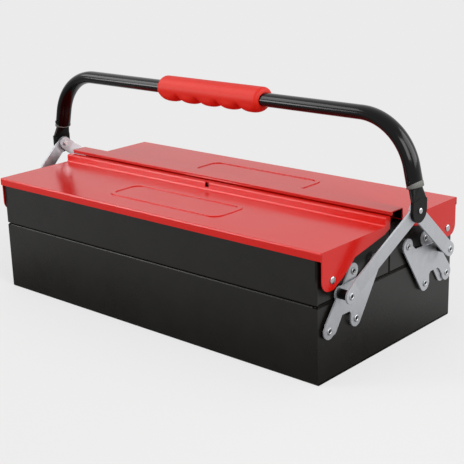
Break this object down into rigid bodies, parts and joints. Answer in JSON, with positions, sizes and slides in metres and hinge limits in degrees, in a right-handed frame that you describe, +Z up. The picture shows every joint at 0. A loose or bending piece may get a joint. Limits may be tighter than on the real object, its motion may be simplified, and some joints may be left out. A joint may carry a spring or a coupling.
{
  "type": "cantilever tool box",
  "caption": "Sheet-steel cantilever tool box: lidded trays swing up and outwards over a deep base on paired links as the bail handle goes down.",
  "frame": {"origin": "middle of the base's underside", "axes": "+X along the box to its right end, +Y to the rear, +Z up"},
  "size_m": [0.486, 0.2166, 0.2306],
  "materials": {
    "black_enamel": "satin black baked enamel",
    "red_enamel": "gloss red baked enamel",
    "zinc_plate": "zinc plated, satin",
    "bright_rivet": "bright zinc",
    "black_tube": "gloss black enamel",
    "black_bracket": "satin black enamel",
    "red_grip": "soft moulded vinyl, satin"
  },
  "bodies": {
    "base": {"base_body": "black_enamel", "base_end_plates": "black_enamel", "base_pivot_rivets": "bright_rivet", "base_pivot_washers": "bright_rivet", "tie_base_pins": "bright_rivet"},
    "front_rocker_links": {"front_rockers": "zinc_plate", "front_lobe_rivets": "bright_rivet"},
    "front_tie_links": {"front_ties": "zinc_plate"},
    "front_tray": {"front_tray_body": "black_enamel", "front_tray_end_plates": "black_enamel", "front_lid_rivets": "bright_rivet", "front_lid_washers": "bright_rivet", "front_tray_rivets": "bright_rivet", "front_tray_washers": "bright_rivet", "front_tie_pins": "bright_rivet"},
    "front_lid_flap": {"front_lid": "red_enamel"},
    "rear_rocker_links": {"rear_rockers": "zinc_plate", "rear_lobe_rivets": "bright_rivet"},
    "rear_tie_links": {"rear_ties": "zinc_plate"},
    "rear_tray": {"rear_tray_body": "black_enamel", "rear_tray_end_plates": "black_enamel", "rear_lid_rivets": "bright_rivet", "rear_lid_washers": "bright_rivet", "rear_tray_rivets": "bright_rivet", "rear_tray_washers": "bright_rivet", "rear_tie_pins": "bright_rivet"},
    "rear_lid_flap": {"rear_lid": "red_enamel"},
    "handle": {"handle_tube": "black_tube", "handle_grip": "red_grip", "handle_end_brackets": "black_bracket", "handle_pivot_rivets": "bright_rivet", "socket_rivets": "black_tube"},
    "front_arm_pair": {"front_arms": "zinc_plate", "front_arm_spacers": "black_bracket", "front_arm_rivets": "bright_rivet"},
    "rear_arm_pair": {"rear_arms": "zinc_plate", "rear_arm_spacers": "black_bracket", "rear_arm_rivets": "bright_rivet"}
  },
  "joints": [
    {"name": "front_rocker_swing", "type": "hinge", "parent": "base", "child": "front_rocker_links", "pos_m": [0, -0.056, 0.048], "axis": [1, 0, 0], "range_deg": [0, 60]},
    {"name": "front_tie_swing", "type": "hinge", "parent": "base", "child": "front_tie_links", "pos_m": [0, -0.088, 0.048], "axis": [1, 0, 0], "range_deg": [0, 60]},
    {"name": "front_tray_level", "type": "hinge", "parent": "front_rocker_links", "child": "front_tray", "pos_m": [0, -0.026, 0.092], "axis": [-1, 0, 0], "range_deg": [0, 60]},
    {"name": "front_lid_hinge", "type": "hinge", "parent": "front_tray", "child": "front_lid_flap", "pos_m": [0, -0.0925, 0.094], "axis": [1, 0, 0], "range_deg": [0, 105]},
    {"name": "rear_rocker_swing", "type": "hinge", "parent": "base", "child": "rear_rocker_links", "pos_m": [0, 0.056, 0.048], "axis": [-1, 0, 0], "range_deg": [0, 60]},
    {"name": "rear_tie_swing", "type": "hinge", "parent": "base", "child": "rear_tie_links", "pos_m": [0, 0.088, 0.048], "axis": [-1, 0, 0], "range_deg": [0, 60]},
    {"name": "rear_tray_level", "type": "hinge", "parent": "rear_rocker_links", "child": "rear_tray", "pos_m": [0, 0.026, 0.092], "axis": [1, 0, 0], "range_deg": [0, 60]},
    {"name": "rear_lid_hinge", "type": "hinge", "parent": "rear_tray", "child": "rear_lid_flap", "pos_m": [0, 0.0925, 0.094], "axis": [-1, 0, 0], "range_deg": [0, 105]},
    {"name": "handle_drop", "type": "slide", "parent": "base", "child": "handle", "axis": [0, 0, -1], "range_m": [0, 0.06819]},
    {"name": "front_arm_swing", "type": "hinge", "parent": "handle", "child": "front_arm_pair", "pos_m": [0, 0, 0.1375], "axis": [-1, 0, 0], "range_deg": [0, 21.83]},
    {"name": "rear_arm_swing", "type": "hinge", "parent": "handle", "child": "rear_arm_pair", "pos_m": [0, 0, 0.1375], "axis": [1, 0, 0], "range_deg": [0, 21.83]}
  ],
  "couplings": [
    {"joint": "rear_rocker_swing", "follows": "front_rocker_swing", "ratio": 1},
    {"joint": "front_tie_swing", "follows": "front_rocker_swing", "ratio": 1},
    {"joint": "rear_tie_swing", "follows": "front_rocker_swing", "ratio": 1},
    {"joint": "front_tray_level", "follows": "front_rocker_swing", "ratio": 1},
    {"joint": "rear_tray_level", "follows": "front_rocker_swing", "ratio": 1},
    {"joint": "handle_drop", "follows": "front_rocker_swing", "m_per_rad": 0.0651},
    {"joint": "front_arm_swing", "follows": "front_rocker_swing", "ratio": 0.3637},
    {"joint": "rear_arm_swing", "follows": "front_rocker_swing", "ratio": 0.3637}
  ]
}
